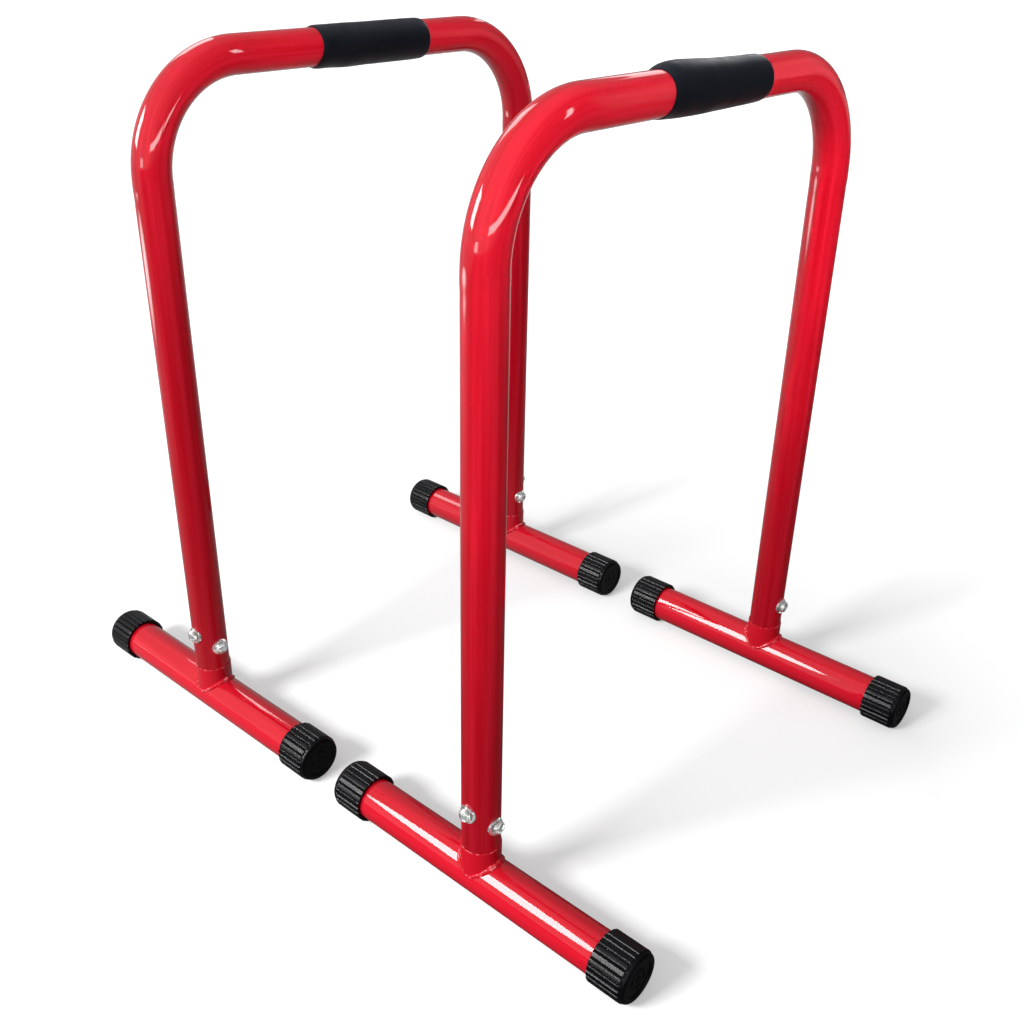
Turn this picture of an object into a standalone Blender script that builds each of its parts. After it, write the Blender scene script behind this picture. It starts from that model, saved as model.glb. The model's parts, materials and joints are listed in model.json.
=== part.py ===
"""A pair of free-standing parallette bars.

Each bar is one tube, bent twice into an upside-down U, with a foam sleeve round the middle of its
rail. The two posts of the U drop over spigots that stand up out of T-shaped feet, and two screws
hold each post, threaded into nuts welded inside the spigot. Ribbed caps close the feet and are
what the bars stand on.

Lengths are in metres. +X runs along the rails, +Y along the feet and +Z up. The origin is on the
floor, midway between the two bars. The near posts are those at -X, and the front is at -Y.
"""

import math

import bmesh
import bpy
from mathutils import Matrix, Vector

# Overall sizes
POST_SPACING = 0.523
RAIL_HEIGHT = 0.724
BAR_SPACING = 0.430
FOOT_SPAN = 0.380

# Handle tube
TUBE_DIAMETER = 0.038
TUBE_WALL = 0.002
BEND_RADIUS = 0.105
BEND_STEPS = 6

# Grip sleeve
GRIP_LENGTH = 0.150
GRIP_THICKNESS = 0.003
GRIP_OFFSET = 0.016
GRIP_EDGE = 0.002

# Foot tube, and the riser welded on its middle
FOOT_DIAMETER = 0.044
FOOT_WALL = 0.002
RISER_DIAMETER = 0.040
SEAM_HEIGHT = 0.066
WELD_BEAD = 0.0024

# Spigot inside the riser and the post
SPIGOT_WALL = 0.0025
SPIGOT_TOP = 0.136

# Ribbed end cap
CAP_DIAMETER = 0.052
CAP_LENGTH = 0.040
CAP_FLOOR = 0.005
CAP_RIM = 0.004
CAP_RIBS = 24
RIB_HEIGHT = 0.0011
GROOVE_WIDTH = 0.0022
GROOVE_ROOT = 0.0001
RECESS_DIAMETER = 0.034
RECESS_DEPTH = 0.0012

# Button-head screw, saddle washer and weld nut
SCREW_DIAMETER = 0.008
SCREW_LENGTH = 0.0165
HEAD_DIAMETER = 0.014
HEAD_HEIGHT = 0.0044
HEAD_LAND = 0.0008
SOCKET_ACROSS = 0.005
SOCKET_DEPTH = 0.0026
SOCKET_MARGIN = 0.0007
WASHER_DIAMETER = 0.018
WASHER_THICKNESS = 0.0015
NUT_ACROSS = 0.013
NUT_HEIGHT = 0.0065
SIDE_SCREW_HEIGHT = 0.1115
FRONT_SCREW_HEIGHT = 0.0955

# Clearances
FIT_GAP = 0.0003
HOLE_CLEARANCE = 0.0005
CUT_MARGIN = 0.004

# Facets
TUBE_SIDES = 20
SCREW_SIDES = 10
WASHER_SIDES = 12
MERGE_DISTANCE = 0.000001
SHARP_ANGLE = math.radians(38)
HEAD_CROWN_ANGLE = math.radians(48)

# Radii and heights that follow from the sizes above
tube_radius = TUBE_DIAMETER / 2
tube_bore = tube_radius - TUBE_WALL
foot_radius = FOOT_DIAMETER / 2
foot_bore = foot_radius - FOOT_WALL
riser_radius = RISER_DIAMETER / 2
spigot_radius = tube_bore - FIT_GAP
spigot_bore = spigot_radius - SPIGOT_WALL
riser_bore = spigot_radius + FIT_GAP
cap_radius = CAP_DIAMETER / 2
cap_bore = foot_radius + FIT_GAP
foot_axis = cap_radius
foot_length = FOOT_SPAN - 2 * (CAP_FLOOR + FIT_GAP)
cap_mouth = FOOT_SPAN / 2 - CAP_LENGTH
hole_radius = SCREW_DIAMETER / 2 + HOLE_CLEARANCE
washer_seat = tube_radius + FIT_GAP
head_seat = washer_seat + WASHER_THICKNESS + FIT_GAP
socket_corner = SOCKET_ACROSS / math.sqrt(3)
nut_corner = NUT_ACROSS / math.sqrt(3)
nut_room = spigot_bore * math.cos(math.pi / TUBE_SIDES) - FIT_GAP
nut_face = math.sqrt(nut_room ** 2 - nut_corner ** 2)


# Modelling helpers

def clear_scene():
    for thing in list(bpy.data.objects):
        bpy.data.objects.remove(thing)


def make_material(name, colour, roughness, metallic):
    material = bpy.data.materials.new(name)
    material.use_nodes = True
    shader = material.node_tree.nodes["Principled BSDF"]
    shader.inputs["Base Color"].default_value = (*colour, 1.0)
    shader.inputs["Roughness"].default_value = roughness
    shader.inputs["Metallic"].default_value = metallic
    return material


def finish(bm, name):
    """Turn a bmesh into a mesh that is smooth on its round faces and crisp at its edges."""
    bmesh.ops.remove_doubles(bm, verts=bm.verts, dist=MERGE_DISTANCE)
    bmesh.ops.recalc_face_normals(bm, faces=bm.faces)
    mesh = bpy.data.meshes.new(name)
    bm.to_mesh(mesh)
    bm.free()
    shade(mesh)
    return mesh


def shade(mesh):
    mesh.shade_smooth()
    mesh.set_sharp_from_angle(angle=SHARP_ANGLE)


def revolve(profile, sides, name, closed=True):
    """Turn a profile of (radius, height) points about Z, with a flat facing each way of X and Y."""
    bm = bmesh.new()
    verts = [bm.verts.new((radius, 0, height)) for radius, height in profile]
    pairs = list(zip(verts, verts[1:]))
    if closed:
        pairs.append((verts[-1], verts[0]))
    edges = [bm.edges.new(pair) for pair in pairs]
    bmesh.ops.rotate(bm, verts=verts, matrix=Matrix.Rotation(math.pi / sides, 3, "Z"))
    bmesh.ops.spin(bm, geom=verts + edges, axis=(0, 0, 1), cent=(0, 0, 0), angle=math.tau,
                   steps=sides, use_merge=True)
    return finish(bm, name)


def arc(centre_radius, centre_height, radius, start, end, steps):
    """Points of a profile's round corner, its angles in degrees from the radial direction."""
    angles = [math.radians(start + (end - start) * step / steps) for step in range(steps + 1)]
    return [(centre_radius + radius * math.cos(angle), centre_height + radius * math.sin(angle))
            for angle in angles]


def turned(mesh, matrix):
    """A copy of a mesh, moved by a matrix."""
    copy = mesh.copy()
    copy.transform(matrix)
    return copy


def along_x(mesh):
    return turned(mesh, Matrix.Rotation(math.pi / 2, 4, "Y"))


def along_y(mesh):
    return turned(mesh, Matrix.Rotation(-math.pi / 2, 4, "X"))


def rod(radius, bottom, top, sides):
    profile = [(0, bottom), (radius, bottom), (radius, top), (0, top)]
    return revolve(profile, sides, "rod", closed=False)


def pipe(radius, bore, bottom, top, name):
    return revolve([(bore, bottom), (radius, bottom), (radius, top), (bore, top)], TUBE_SIDES, name)


def merged(meshes, name):
    bm = bmesh.new()
    for mesh in meshes:
        bm.from_mesh(mesh)
    mesh = bpy.data.meshes.new(name)
    bm.to_mesh(mesh)
    bm.free()
    return mesh


def boolean(mesh, tool, operation):
    """Cut one mesh by another, join them, or keep what they share."""
    body = bpy.data.objects.new(mesh.name, mesh)
    cutter = bpy.data.objects.new("cutter", tool)
    cutter.hide_render = True
    cutter.display_type = "WIRE"
    for thing in (body, cutter):
        bpy.context.scene.collection.objects.link(thing)
    modifier = body.modifiers.new(operation.lower(), "BOOLEAN")
    modifier.operation = operation
    modifier.solver = "EXACT"
    modifier.object = cutter
    depsgraph = bpy.context.evaluated_depsgraph_get()
    result = bpy.data.meshes.new_from_object(body.evaluated_get(depsgraph))
    result.name = mesh.name
    bpy.data.objects.remove(body)
    bpy.data.objects.remove(cutter)
    shade(result)
    return result


def add_piece(name, mesh, material, parent, location, rotation=None):
    piece = bpy.data.objects.new(name, mesh)
    bpy.context.scene.collection.objects.link(piece)
    if not mesh.materials:
        mesh.materials.append(material)
    piece.parent = parent
    piece.location = location
    if rotation is not None:
        piece.rotation_euler = rotation.to_euler()
    return piece


def add_empty(name, location):
    empty = bpy.data.objects.new(name, None)
    bpy.context.scene.collection.objects.link(empty)
    empty.location = location
    return empty


# Screw places: the way each screw of a post points, and its height above the floor

def screw_places(side):
    return {
        "side": (Vector((side, 0, 0)), SIDE_SCREW_HEIGHT),
        "front": (Vector((0, -1, 0)), FRONT_SCREW_HEIGHT),
    }


def outward(direction):
    """The turn that lays +Z along a screw's direction and keeps +Y upright."""
    return direction.to_track_quat("Z", "Y")


def drills(post_x, side, base_height):
    """Drills for both screw holes of one post, with heights counted from base_height."""
    drill = rod(hole_radius, spigot_bore / 2, tube_radius + CUT_MARGIN, SCREW_SIDES)
    meshes = []
    for direction, height in screw_places(side).values():
        place = Matrix.Translation((post_x, 0, height - base_height))
        meshes.append(turned(drill, place @ outward(direction).to_matrix().to_4x4()))
    return merged(meshes, "drills")


# Handle tube

def pull(bm, end, move):
    """Draw a tube's end out along a straight line, and return its new end."""
    drawn = bmesh.ops.extrude_face_region(bm, geom=end)["geom"]
    verts = [item for item in drawn if isinstance(item, bmesh.types.BMVert)]
    bmesh.ops.translate(bm, verts=verts, vec=move)
    return with_edges([item for item in drawn if isinstance(item, bmesh.types.BMFace)])


def bend(bm, end, centre):
    """Draw a tube's end round a quarter turn about an axis along Y, and return its new end."""
    drawn = bmesh.ops.spin(bm, geom=end, cent=centre, axis=(0, 1, 0), angle=math.pi / 2,
                           steps=BEND_STEPS)["geom_last"]
    return with_edges([item for item in drawn if isinstance(item, bmesh.types.BMFace)])


def with_edges(faces):
    """Faces with all of their edges, so that drawing them out leaves no wall across the tube."""
    return faces + list({edge for face in faces for edge in face.edges})


def handle_tube_mesh():
    """The tube from the near post's foot, over both bends, to the far post's foot."""
    post_x = POST_SPACING / 2
    start = SEAM_HEIGHT + FIT_GAP
    bend_x = post_x - BEND_RADIUS
    bend_z = RAIL_HEIGHT - BEND_RADIUS
    bm = bmesh.new()
    for radius in (tube_radius, tube_bore):
        bmesh.ops.create_circle(bm, segments=TUBE_SIDES, radius=radius,
                                matrix=Matrix.Translation((-post_x, 0, start))
                                @ Matrix.Rotation(math.pi / TUBE_SIDES, 4, "Z"))
    end = with_edges(bmesh.ops.bridge_loops(bm, edges=bm.edges)["faces"])
    end = pull(bm, end, Vector((0, 0, bend_z - start)))
    end = bend(bm, end, (-bend_x, 0, bend_z))
    end = pull(bm, end, Vector((2 * bend_x, 0, 0)))
    end = bend(bm, end, (bend_x, 0, bend_z))
    pull(bm, end, Vector((0, 0, start - bend_z)))
    mesh = finish(bm, "handle_tube")
    holes = merged([drills(side * post_x, side, 0) for side in (-1, 1)], "holes")
    return boolean(mesh, holes, "DIFFERENCE")


# Grip sleeve

def grip_sleeve_mesh():
    """A foam sleeve with rounded ends, along X."""
    inner = tube_radius + FIT_GAP
    outer = inner + GRIP_THICKNESS
    half = GRIP_LENGTH / 2
    edge = min(GRIP_EDGE, GRIP_THICKNESS - FIT_GAP)
    profile = [(inner, half), (inner, -half)]
    profile += arc(outer - edge, edge - half, edge, -90, 0, 2)
    profile += arc(outer - edge, half - edge, edge, 0, 90, 2)
    return along_x(revolve(profile, TUBE_SIDES, "grip_sleeve"))


# Foot: its tube, and the riser and spigot that stand on it

def foot_tube_mesh():
    return along_y(pipe(foot_radius, foot_bore, -foot_length / 2, foot_length / 2, "foot_tube"))


def coped(mesh):
    """Cut the lower end of an upright piece to sit on the foot tube, which runs along Y."""
    saddle = along_y(rod(foot_radius + FIT_GAP, -foot_radius * 2, foot_radius * 2, TUBE_SIDES))
    return boolean(mesh, saddle, "DIFFERENCE")


def weld_bead_mesh():
    """A bead of weld along the line where the riser's wall meets the foot tube's."""
    curve = bpy.data.curves.new("weld_bead", "CURVE")
    curve.dimensions = "3D"
    curve.bevel_depth = min(WELD_BEAD, riser_radius - riser_bore - FIT_GAP)
    curve.bevel_resolution = 0
    spline = curve.splines.new("POLY")
    spline.points.add(TUBE_SIDES - 1)
    spline.use_cyclic_u = True
    for index, point in enumerate(spline.points):
        angle = math.tau * (index + 0.5) / TUBE_SIDES
        x = riser_radius * math.cos(angle)
        y = riser_radius * math.sin(angle)
        point.co = (x, y, math.sqrt(max(foot_radius ** 2 - x ** 2, 0)), 1)
    bead = bpy.data.objects.new("weld_bead", curve)
    bpy.context.scene.collection.objects.link(bead)
    depsgraph = bpy.context.evaluated_depsgraph_get()
    mesh = bpy.data.meshes.new_from_object(bead.evaluated_get(depsgraph))
    bpy.data.objects.remove(bead)
    return mesh


def riser_mesh():
    """The short stub that the post stands on, with its origin on the foot's axis."""
    tube = pipe(riser_radius, riser_bore, 0, SEAM_HEIGHT - foot_axis, "riser")
    return coped(boolean(tube, weld_bead_mesh(), "UNION"))


def spigot_mesh(side):
    """The inner sleeve that carries the post, pushed down the riser until it meets the foot tube."""
    bottom = foot_radius + FIT_GAP
    tube = pipe(spigot_radius, spigot_bore, bottom, SPIGOT_TOP - foot_axis, "spigot")
    return boolean(tube, drills(0, side, foot_axis), "DIFFERENCE")


# End cap

def groove_cutter():
    """A V-shaped cutter for the groove between two ribs, along +Z and past both ends of the cap."""
    corner = cap_radius / math.cos(math.pi / CAP_RIBS)
    depth = RIB_HEIGHT - GROOVE_ROOT
    half = GROOVE_WIDTH / 2 * (depth + CUT_MARGIN) / depth
    outline = [(corner - depth, 0), (corner + CUT_MARGIN, half), (corner + CUT_MARGIN, -half)]
    bm = bmesh.new()
    face = bm.faces.new([bm.verts.new((radius, width, -CUT_MARGIN)) for radius, width in outline])
    pull(bm, [face], Vector((0, 0, CAP_LENGTH + 2 * CUT_MARGIN)))
    return finish(bm, "groove")


def end_cap_mesh():
    """A cap closed at its outer end, along +Y from its mouth, with one rib flat on the floor.

    The ribs stand proud of the cap's body and stop short of its rounded rim.
    """
    rib = cap_radius / math.cos(math.pi / CAP_RIBS)
    body = rib - RIB_HEIGHT
    inside = CAP_LENGTH - CAP_FLOOR
    recess = RECESS_DIAMETER / 2
    profile = [(0, inside), (cap_bore, inside), (cap_bore, 0), (rib, 0),
               (rib, CAP_LENGTH - CAP_RIM - RIB_HEIGHT)]
    profile += arc(body - CAP_RIM, CAP_LENGTH - CAP_RIM, CAP_RIM, 0, 90, 2)
    profile += [(recess, CAP_LENGTH), (recess, CAP_LENGTH - RECESS_DEPTH), (0, CAP_LENGTH - RECESS_DEPTH)]
    blank = revolve(profile, CAP_RIBS, "end_cap", closed=False)
    groove = groove_cutter()
    grooves = merged([turned(groove, Matrix.Rotation(math.tau * (index + 0.5) / CAP_RIBS, 4, "Z"))
                      for index in range(CAP_RIBS)], "grooves")
    return along_y(boolean(blank, grooves, "DIFFERENCE"))


# Fasteners, modelled along +Z with the origin on the post's axis and +Y up the post

def screw_mesh():
    """A button-head screw with a hexagon socket."""
    head = HEAD_DIAMETER / 2
    shank = SCREW_DIAMETER / 2
    crown = HEAD_HEIGHT - HEAD_LAND
    land = head_seat + HEAD_LAND
    top = head_seat + HEAD_HEIGHT
    flat = socket_corner + SOCKET_MARGIN
    profile = [(0, head_seat - SCREW_LENGTH), (shank, head_seat - SCREW_LENGTH), (shank, head_seat),
               (head, head_seat), (head, land)]
    profile += [(flat + (head - flat) * math.cos(HEAD_CROWN_ANGLE),
                 land + crown * math.sin(HEAD_CROWN_ANGLE)), (flat, top), (0, top)]
    blank = revolve(profile, SCREW_SIDES, "screw", closed=False)
    socket = rod(socket_corner, top - SOCKET_DEPTH, top + CUT_MARGIN, 6)
    return boolean(blank, socket, "DIFFERENCE")


def washer_mesh():
    """A washer curved to the post, so that it seats on the tube all round."""
    bm = bmesh.new()
    rings = []
    for radius, shell in ((hole_radius, washer_seat), (WASHER_DIAMETER / 2, washer_seat),
                          (WASHER_DIAMETER / 2, washer_seat + WASHER_THICKNESS),
                          (hole_radius, washer_seat + WASHER_THICKNESS)):
        ring = []
        for index in range(WASHER_SIDES):
            angle = math.tau * index / WASHER_SIDES
            across = radius * math.cos(angle)
            ring.append(bm.verts.new((across, radius * math.sin(angle), math.sqrt(shell ** 2 - across ** 2))))
        rings.append(ring)
    for ring, after in zip(rings, rings[1:] + rings[:1]):
        for index in range(WASHER_SIDES):
            following = (index + 1) % WASHER_SIDES
            bm.faces.new((ring[index], ring[following], after[following], after[index]))
    return finish(bm, "washer")


def weld_nut_mesh():
    """A hexagon nut whose outer corners meet the wall of the spigot's bore."""
    blank = rod(nut_corner, nut_face - NUT_HEIGHT, nut_face, 6)
    thread = rod(SCREW_DIAMETER / 2 + FIT_GAP, 0, spigot_radius, SCREW_SIDES)
    return boolean(blank, thread, "DIFFERENCE")


# Assembly

def add_foot(bar_name, bar, post_name, side, meshes, materials):
    """One foot of a bar, with its caps and the screws that hold the post on it."""
    prefix = f"{bar_name}_{post_name}"
    post_x = side * POST_SPACING / 2
    axis_point = (post_x, 0, foot_axis)
    add_piece(f"{prefix}_foot_tube", meshes["foot_tube"], materials["paint"], bar, axis_point)
    add_piece(f"{prefix}_riser", meshes["riser"], materials["paint"], bar, axis_point)
    add_piece(f"{prefix}_spigot", meshes["spigot"][side], materials["bare_steel"], bar, axis_point)
    half_turn = Matrix.Rotation(math.pi, 3, "Z")
    add_piece(f"{prefix}_back_cap", meshes["end_cap"], materials["cap"], bar, (post_x, cap_mouth, foot_axis))
    add_piece(f"{prefix}_front_cap", meshes["end_cap"], materials["cap"], bar,
              (post_x, -cap_mouth, foot_axis), half_turn)
    for place, (direction, height) in screw_places(side).items():
        at = (post_x, 0, height)
        turn = outward(direction)
        add_piece(f"{prefix}_{place}_screw", meshes["screw"], materials["zinc"], bar, at, turn)
        add_piece(f"{prefix}_{place}_washer", meshes["washer"], materials["zinc"], bar, at, turn)
        add_piece(f"{prefix}_{place}_nut", meshes["weld_nut"], materials["bare_steel"], bar, at, turn)


def add_bar(name, bar_y, meshes, materials):
    bar = add_empty(f"{name}_bar", (0, bar_y, 0))
    add_piece(f"{name}_handle_tube", meshes["handle_tube"], materials["paint"], bar, (0, 0, 0))
    rail_point = (GRIP_OFFSET, 0, RAIL_HEIGHT)
    add_piece(f"{name}_grip_sleeve", meshes["grip_sleeve"], materials["foam"], bar, rail_point)
    add_foot(name, bar, "near", -1, meshes, materials)
    add_foot(name, bar, "far", 1, meshes, materials)


def build():
    clear_scene()
    materials = {
        "paint": make_material("red_gloss_paint", (0.64, 0.007, 0.018), 0.22, 0.0),
        "foam": make_material("black_foam", (0.014, 0.016, 0.024), 0.85, 0.0),
        "cap": make_material("black_cap_plastic", (0.012, 0.013, 0.016), 0.45, 0.0),
        "zinc": make_material("zinc_plate", (0.70, 0.71, 0.72), 0.28, 1.0),
        "bare_steel": make_material("bare_steel", (0.45, 0.45, 0.46), 0.45, 1.0),
    }
    meshes = {
        "handle_tube": handle_tube_mesh(),
        "grip_sleeve": grip_sleeve_mesh(),
        "foot_tube": foot_tube_mesh(),
        "riser": riser_mesh(),
        "spigot": {side: spigot_mesh(side) for side in (-1, 1)},
        "end_cap": end_cap_mesh(),
        "screw": screw_mesh(),
        "washer": washer_mesh(),
        "weld_nut": weld_nut_mesh(),
    }
    add_bar("right", -BAR_SPACING / 2, meshes, materials)
    add_bar("left", BAR_SPACING / 2, meshes, materials)


build()
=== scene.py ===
"""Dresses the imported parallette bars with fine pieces, their finishes and a plain studio.

Everything is in metres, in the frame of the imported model: +X along the rails, +Y along the feet
and +Z up, with the origin on the floor midway between the two bars.
"""

import fnmatch
import json
import math

import bmesh
import bpy
from bpy.props import FloatProperty, FloatVectorProperty, IntProperty, PointerProperty
from bpy.types import Operator, Panel, PropertyGroup
from mathutils import Matrix, Vector

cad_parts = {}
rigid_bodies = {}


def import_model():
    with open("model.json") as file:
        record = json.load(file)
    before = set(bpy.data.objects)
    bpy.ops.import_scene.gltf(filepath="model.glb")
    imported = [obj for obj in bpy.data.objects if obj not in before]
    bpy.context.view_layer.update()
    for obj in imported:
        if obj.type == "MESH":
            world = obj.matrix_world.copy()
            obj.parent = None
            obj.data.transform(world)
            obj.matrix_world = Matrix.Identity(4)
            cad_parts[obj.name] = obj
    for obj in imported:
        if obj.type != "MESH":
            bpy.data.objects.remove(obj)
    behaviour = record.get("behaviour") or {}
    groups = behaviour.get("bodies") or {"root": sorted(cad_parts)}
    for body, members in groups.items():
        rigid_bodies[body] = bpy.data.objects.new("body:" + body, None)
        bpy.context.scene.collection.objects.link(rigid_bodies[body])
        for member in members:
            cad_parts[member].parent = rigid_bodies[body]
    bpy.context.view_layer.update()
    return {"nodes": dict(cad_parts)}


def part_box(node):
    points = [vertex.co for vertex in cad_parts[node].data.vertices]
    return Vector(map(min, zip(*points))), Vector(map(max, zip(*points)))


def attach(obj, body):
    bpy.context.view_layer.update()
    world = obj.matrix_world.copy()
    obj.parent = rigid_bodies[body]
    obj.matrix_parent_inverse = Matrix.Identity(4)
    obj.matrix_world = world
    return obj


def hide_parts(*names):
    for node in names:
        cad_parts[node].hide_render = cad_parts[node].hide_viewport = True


bl_info = {
    "name": "Parallette Bars",
    "version": (1, 0, 0),
    "blender": (4, 5, 0),
    "location": "3D View > Sidebar > Parallettes",
    "description": "Models a pair of parallette bars on the packed frame, and their studio",
    "category": "Object",
}

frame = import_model()

BARS = ("right", "left")
POSTS = ("near", "far")


def middle(node):
    low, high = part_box(node)
    return (low + high) / 2


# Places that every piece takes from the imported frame
bar_y = {bar: middle(f"{bar}_handle_tube").y for bar in BARS}
post_x = {post: middle(f"right_{post}_riser").x for post in POSTS}
foot_z = middle("right_near_foot_tube").z
seam_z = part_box("right_near_riser")[1].z
post_foot_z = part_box("right_handle_tube")[0].z
foot_low, foot_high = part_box("right_near_foot_tube")
cap_low, cap_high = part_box("right_near_back_cap")
grip_low, grip_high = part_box("right_grip_sleeve")
side_screw_z = middle("right_near_side_washer").z
front_screw_z = middle("right_near_front_washer").z
washer_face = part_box("right_far_side_washer")[1].x - post_x["far"]


# Sizes and finishes that a user would change

class ParalletteTubes(PropertyGroup):
    """Sizes of the bent handle and of the feet"""
    handle_diameter: FloatProperty(
        name="Handle Diameter", description="Outside diameter of the bent handle tube",
        default=0.038, min=0.02, max=0.06, unit="LENGTH")
    wall: FloatProperty(
        name="Wall", description="Wall thickness of the handle and of the feet",
        default=0.002, min=0.0008, max=0.004, unit="LENGTH")
    bend_radius: FloatProperty(
        name="Bend Radius", description="Radius of each bend at the middle of the tube",
        default=0.105, min=0.05, max=0.2, unit="LENGTH")
    rail_height: FloatProperty(
        name="Rail Height", description="Height of the rail's middle above the floor",
        default=middle("right_grip_sleeve").z, min=0.2, max=1.2, unit="LENGTH")
    foot_diameter: FloatProperty(
        name="Foot Diameter", description="Outside diameter of the foot tubes",
        default=0.044, min=0.03, max=0.07, unit="LENGTH")
    riser_diameter: FloatProperty(
        name="Riser Diameter", description="Outside diameter of the stub that a post stands on",
        default=0.040, min=0.03, max=0.06, unit="LENGTH")
    weld_size: FloatProperty(
        name="Weld Size", description="Radius of the weld bead round a riser's base",
        default=0.0036, min=0.001, max=0.006, unit="LENGTH")


class ParalletteGrip(PropertyGroup):
    """Sizes of the foam sleeves"""
    thickness: FloatProperty(
        name="Thickness", description="Thickness of the foam at the middle of the grip",
        default=0.0025, min=0.001, max=0.01, unit="LENGTH")
    swell: FloatProperty(
        name="Swell", description="How far the top of a loose end stands off the rail",
        default=0.0033, min=0.0, max=0.01, unit="LENGTH")
    skew: FloatProperty(
        name="Skew", description="How far the underside of the loose end reaches past its top",
        default=0.003, min=0.0, max=0.02, unit="LENGTH")


class ParalletteCap(PropertyGroup):
    """Sizes of the ribbed end caps"""
    ribs: IntProperty(
        name="Ribs", description="Number of ribs round a cap", default=24, min=8, max=48)
    diameter: FloatProperty(
        name="Diameter", description="Diameter over the ribs",
        default=0.0524, min=0.04, max=0.08, unit="LENGTH")
    rib_height: FloatProperty(
        name="Rib Height", description="Depth of the grooves between two ribs",
        default=0.0014, min=0.0003, max=0.003, unit="LENGTH")
    rim: FloatProperty(
        name="Rim Radius", description="Radius of the rounded edge of the closed end",
        default=0.0034, min=0.001, max=0.008, unit="LENGTH")


class ParalletteFastener(PropertyGroup):
    """Sizes of the button-head screws and their saddle washers"""
    head_diameter: FloatProperty(
        name="Head Diameter", description="Diameter of a screw's head",
        default=0.014, min=0.008, max=0.02, unit="LENGTH")
    head_height: FloatProperty(
        name="Head Height", description="Height of a screw's head above its washer",
        default=0.0044, min=0.002, max=0.008, unit="LENGTH")
    washer_diameter: FloatProperty(
        name="Washer Diameter", description="Diameter of a saddle washer",
        default=0.0185, min=0.01, max=0.03, unit="LENGTH")
    socket: FloatProperty(
        name="Socket", description="Width across the flats of a screw's hexagon socket",
        default=0.005, min=0.003, max=0.008, unit="LENGTH")


class ParalletteFinish(PropertyGroup):
    """Colours of the finishes"""
    paint: FloatVectorProperty(
        name="Paint", description="Colour of the gloss paint on every tube",
        default=(0.58, 0.0047, 0.0175), min=0, max=1, subtype="COLOR")
    foam: FloatVectorProperty(
        name="Foam", description="Colour of the grips",
        default=(0.010, 0.011, 0.019), min=0, max=1, subtype="COLOR")
    plastic: FloatVectorProperty(
        name="Cap Plastic", description="Colour of the end caps",
        default=(0.002, 0.002, 0.003), min=0, max=1, subtype="COLOR")
    zinc: FloatVectorProperty(
        name="Zinc", description="Colour of the plated screws and washers",
        default=(0.80, 0.80, 0.79), min=0, max=1, subtype="COLOR")
    steel: FloatVectorProperty(
        name="Bare Steel", description="Colour of the unpainted spigots and nuts",
        default=(0.40, 0.39, 0.38), min=0, max=1, subtype="COLOR")


class ParalletteStage(PropertyGroup):
    """Strengths of the studio's lights"""
    key: FloatProperty(
        name="Key Light", description="Strength of the soft light from the window's side",
        default=2.5, min=0, max=20)
    low_share: FloatProperty(
        name="Low Share", description="How much of the key light all but the handles get",
        default=0.6, min=0, max=1, subtype="FACTOR")
    handle_share: FloatProperty(
        name="Handle Share", description="How much of the key light the handles get",
        default=0.2, min=0, max=1, subtype="FACTOR")
    softness: FloatProperty(
        name="Key Softness", description="How wide the key light looks from the object",
        default=math.radians(23), min=0, max=math.pi / 2, subtype="ANGLE")
    floor_key: FloatProperty(
        name="Floor Key", description="Strength of the broad light that draws the shadows",
        default=73, min=0, max=500)
    fill: FloatProperty(
        name="Fill", description="Strength of the lights that lift the rails and the posts",
        default=1.0, min=0, max=5, subtype="FACTOR")
    panels: FloatProperty(
        name="Panels", description="Strength of the panels that the gloss mirrors",
        default=1.0, min=0, max=5, subtype="FACTOR")
    ambient: FloatProperty(
        name="Ambient", description="Strength of the light from all round",
        default=0.64, min=0, max=5)


# Modelling by hand: select, shape in edit mode, finish with modifiers

# How near two points must be to merge, and how near a point to a line to count as on it
MEETING = 0.000005
NEAR = 0.00001


def let_go():
    """Deselect every object, because an operator acts on all that is selected."""
    for thing in list(bpy.context.selected_objects):
        thing.select_set(False)


def take(*things):
    """Select these objects alone, the first of them active."""
    let_go()
    for thing in things:
        thing.select_set(True)
    bpy.context.view_layer.objects.active = things[0]


def edit(piece):
    """Open a piece in edit mode with nothing selected."""
    take(piece)
    bpy.ops.object.mode_set(mode="EDIT")
    bpy.ops.mesh.select_all(action="DESELECT")


def close():
    bpy.ops.object.mode_set(mode="OBJECT")


def pick_points(test):
    """Select the points of the mesh in edit mode that pass a test of their place."""
    mesh = bpy.context.object.data
    bpy.ops.mesh.select_mode(type="VERT")
    bpy.ops.mesh.select_all(action="DESELECT")
    shape = bmesh.from_edit_mesh(mesh)
    for point in shape.verts:
        if test(point.co):
            point.select_set(True)
    shape.select_flush_mode()
    bmesh.update_edit_mesh(mesh)


def add_ring(name, sides, radius, place=(0, 0, 0), turn=(0, 0, 0), fill="NOTHING"):
    """A ring of edges at its size and place, open in edit mode and selected all over."""
    let_go()
    bpy.ops.mesh.primitive_circle_add(vertices=sides, radius=radius, fill_type=fill,
                                      location=place, rotation=turn)
    piece = bpy.context.object
    piece.name = piece.data.name = name
    bpy.ops.object.transform_apply(location=True, rotation=True, scale=True)
    bpy.ops.object.mode_set(mode="EDIT")
    bpy.ops.mesh.select_all(action="SELECT")
    return piece


def draw_out(move, count=1):
    """Extrude the selected ring along a straight line, in one step or more."""
    for _ in range(count):
        bpy.ops.mesh.extrude_region_move(TRANSFORM_OT_translate={"value": tuple(move)})


def resize(ratio, centre, height=1):
    """Resize the selected points about a centre, level by one ratio and in height by another."""
    bpy.ops.transform.resize(value=(ratio, ratio, height), center_override=centre)


def swing(centre, axis, angle, steps):
    """Extrude the selected ring round an axis by the right-hand rule, which spin turns against."""
    bpy.ops.mesh.spin(steps=steps, angle=-angle, center=centre, axis=axis)


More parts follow.
